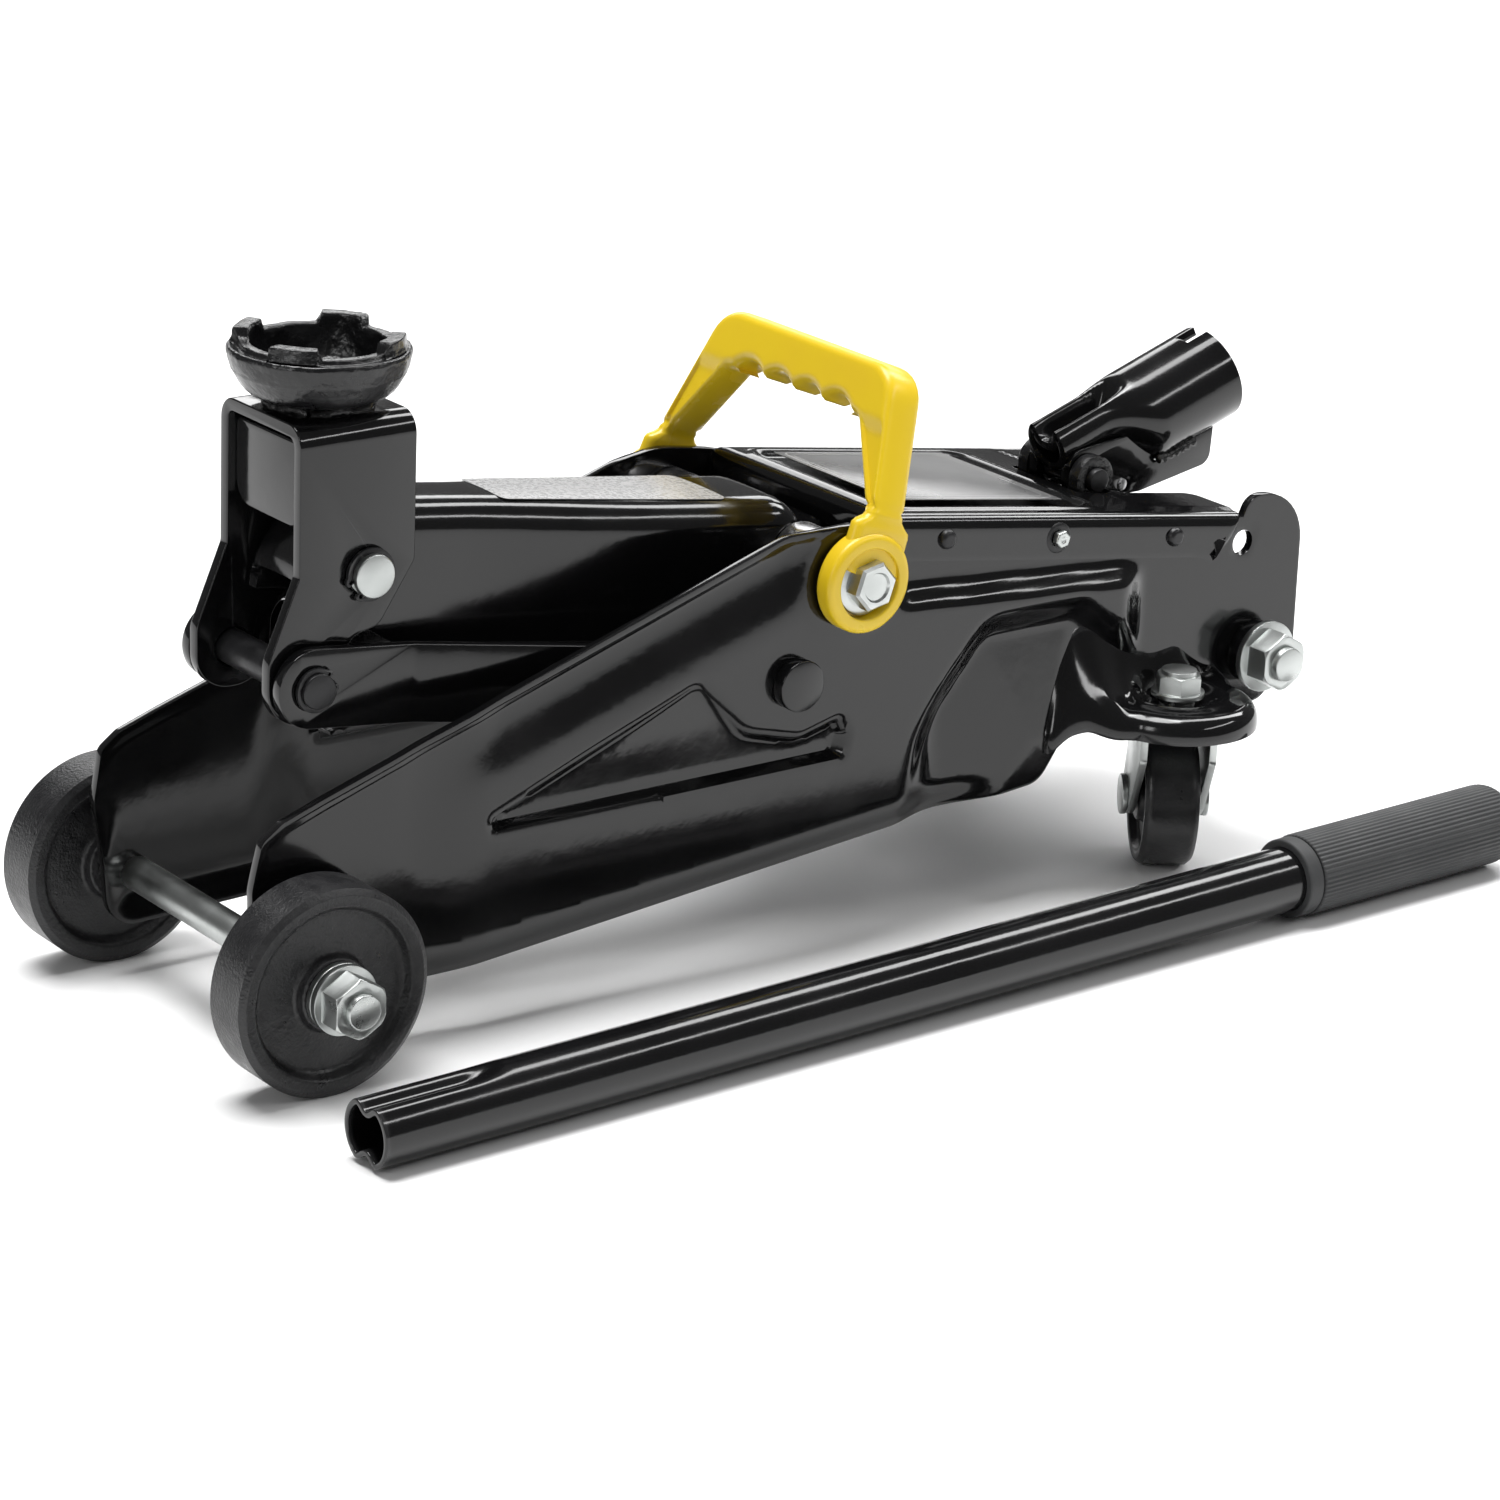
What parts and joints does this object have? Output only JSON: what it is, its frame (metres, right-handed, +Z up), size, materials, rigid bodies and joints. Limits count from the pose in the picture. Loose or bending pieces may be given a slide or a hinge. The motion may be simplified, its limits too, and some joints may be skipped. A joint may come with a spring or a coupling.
{
  "type": "trolley jack",
  "caption": "Low rolling floor jack: a lift arm raises a level saddle by a hydraulic ram; casters, carry handle, pump socket and loose bar.",
  "frame": {"origin": "on the floor, on the centre line, under the front axle", "axes": "+X from the front wheels to the handle end, +Y to the jack's right, +Z up"},
  "size_m": [0.4844, 0.2277, 0.215],
  "materials": {
    "black_paint": "gloss black enamel over stamped steel",
    "zinc": "bright zinc plating",
    "cast_iron": "black-painted rough casting",
    "bare_steel": "ground steel, oiled",
    "black_oxide": "black oxide",
    "yellow_plastic": "satin moulded plastic",
    "grip_rubber": "fine-ribbed rubber",
    "label": "blank gloss label"
  },
  "bodies": {
    "frame": {"side_plate_left": "black_paint", "side_plate_right": "black_paint", "front_axle": "zinc", "axle_washers": "zinc", "axle_nuts": "zinc", "axle_spacers": "bare_steel", "arm_pivot_shaft": "bare_steel", "arm_pivot_bushes": "bare_steel", "handle_bolts": "zinc", "link_pivot_pins": "black_oxide", "top_cover": "black_paint", "cover_label": "label", "cover_screws": "zinc", "rear_cross_bolt": "zinc", "rear_bolt_nuts": "zinc", "rear_spacers": "black_paint", "pump_block": "cast_iron", "main_cylinder": "black_paint", "reservoir_tube": "black_paint", "cylinder_gland": "black_paint", "filler_plug": "black_oxide", "pump_barrel": "bare_steel", "socket_pivot_pin": "bare_steel", "caster_bracket_left": "black_paint", "caster_bracket_right": "black_paint", "caster_races": "zinc", "return_springs": "bare_steel"},
    "front_wheel_left": {"front_wheel_left": "cast_iron"},
    "front_wheel_right": {"front_wheel_right": "cast_iron"},
    "lift_arm": {"lift_arm": "black_paint", "push_pin": "bare_steel", "saddle_pin": "zinc", "saddle_pin_clips": "black_oxide"},
    "saddle_bracket": {"saddle_bracket": "black_paint", "bracket_front_plate": "black_paint", "saddle": "cast_iron"},
    "links": {"link_bar_left": "black_paint", "link_bar_right": "black_paint", "link_pin": "black_oxide", "link_pin_clips": "black_oxide"},
    "ram": {"ram_head": "black_paint", "ram_rod": "bare_steel", "ram_piston": "bare_steel"},
    "pump_plunger": {"pump_plunger": "bare_steel"},
    "handle_socket": {"socket_tube": "black_paint", "socket_yoke": "black_paint", "pump_roller": "bare_steel"},
    "release_valve": {"release_valve": "bare_steel"},
    "carry_handle": {"carry_handle": "yellow_plastic"},
    "caster_fork_left": {"caster_fork_left": "zinc", "caster_kingpin_left": "zinc", "caster_axle_left": "zinc"},
    "caster_fork_right": {"caster_fork_right": "zinc", "caster_kingpin_right": "zinc", "caster_axle_right": "zinc"},
    "caster_wheel_left": {"caster_wheel_left": "cast_iron"},
    "caster_wheel_right": {"caster_wheel_right": "cast_iron"},
    "handle_bar": {"bar_tube": "black_paint", "bar_collar": "grip_rubber", "bar_grip": "grip_rubber"}
  },
  "joints": [
    {"name": "arm_lift", "type": "hinge", "parent": "frame", "child": "lift_arm", "pos_m": [0.2054, 0, 0.1253], "axis": [0, 1, 0], "range_deg": [-26.5, 43.5]},
    {"name": "saddle_level", "type": "hinge", "parent": "lift_arm", "child": "saddle_bracket", "pos_m": [0.04096, 0, 0.14403], "axis": [0, 1, 0], "range_deg": [-43.5, 26.5]},
    {"name": "link_swing", "type": "hinge", "parent": "frame", "child": "links", "pos_m": [0.1833, 0, 0.0937], "axis": [0, 1, 0], "range_deg": [-26.5, 43.5]},
    {"name": "ram_slide", "type": "slide", "parent": "frame", "child": "ram", "axis": [-1, 0, 0], "range_m": [-0.02009, 0.03285], "deforming": ["return_springs"]},
    {"name": "front_wheel_left_roll", "type": "hinge", "parent": "frame", "child": "front_wheel_left", "pos_m": [0, -0.063, 0.033], "axis": [0, 1, 0], "continuous": true},
    {"name": "front_wheel_right_roll", "type": "hinge", "parent": "frame", "child": "front_wheel_right", "pos_m": [0, 0.063, 0.033], "axis": [0, 1, 0], "continuous": true},
    {"name": "carry_swing", "type": "hinge", "parent": "frame", "child": "carry_handle", "pos_m": [0.2054, 0, 0.1253], "axis": [0, 1, 0], "range_deg": [-14, 18]},
    {"name": "pump_stroke", "type": "hinge", "parent": "frame", "child": "handle_socket", "pos_m": [0.338, 0, 0.13], "axis": [0, -1, 0], "range_deg": [0, 40]},
    {"name": "plunger_slide", "type": "slide", "parent": "frame", "child": "pump_plunger", "axis": [0, 0, 1], "range_m": [0, 0.0124]},
    {"name": "release_turn", "type": "hinge", "parent": "frame", "child": "release_valve", "pos_m": [0.39, 0, 0.084], "axis": [1, 0, 0], "range_deg": [0, 90]},
    {"name": "bar_lift", "type": "slide", "parent": "frame", "child": "handle_bar", "axis": [0, 0, 1], "range_m": [0, 0.25]},
    {"name": "caster_left_swivel", "type": "hinge", "parent": "frame", "child": "caster_fork_left", "pos_m": [0.342, -0.06, 0.045], "axis": [0, 0, 1], "continuous": true},
    {"name": "caster_left_roll", "type": "hinge", "parent": "caster_fork_left", "child": "caster_wheel_left", "pos_m": [0.35011, -0.04798, 0.024], "axis": [-0.829, 0.5592, 0], "continuous": true},
    {"name": "caster_right_swivel", "type": "hinge", "parent": "frame", "child": "caster_fork_right", "pos_m": [0.342, 0.06, 0.045], "axis": [0, 0, 1], "continuous": true},
    {"name": "caster_right_roll", "type": "hinge", "parent": "caster_fork_right", "child": "caster_wheel_right", "pos_m": [0.35011, 0.07202, 0.024], "axis": [-0.829, 0.5592, 0], "continuous": true}
  ],
  "couplings": [
    {"joint": "saddle_level", "follows": "arm_lift", "ratio": -1},
    {"joint": "link_swing", "follows": "arm_lift", "ratio": 1},
    {"joint": "ram_slide", "follows": "arm_lift", "m_per_rad": 0.043},
    {"joint": "plunger_slide", "follows": "pump_stroke", "m_per_rad": 0.0176}
  ]
}
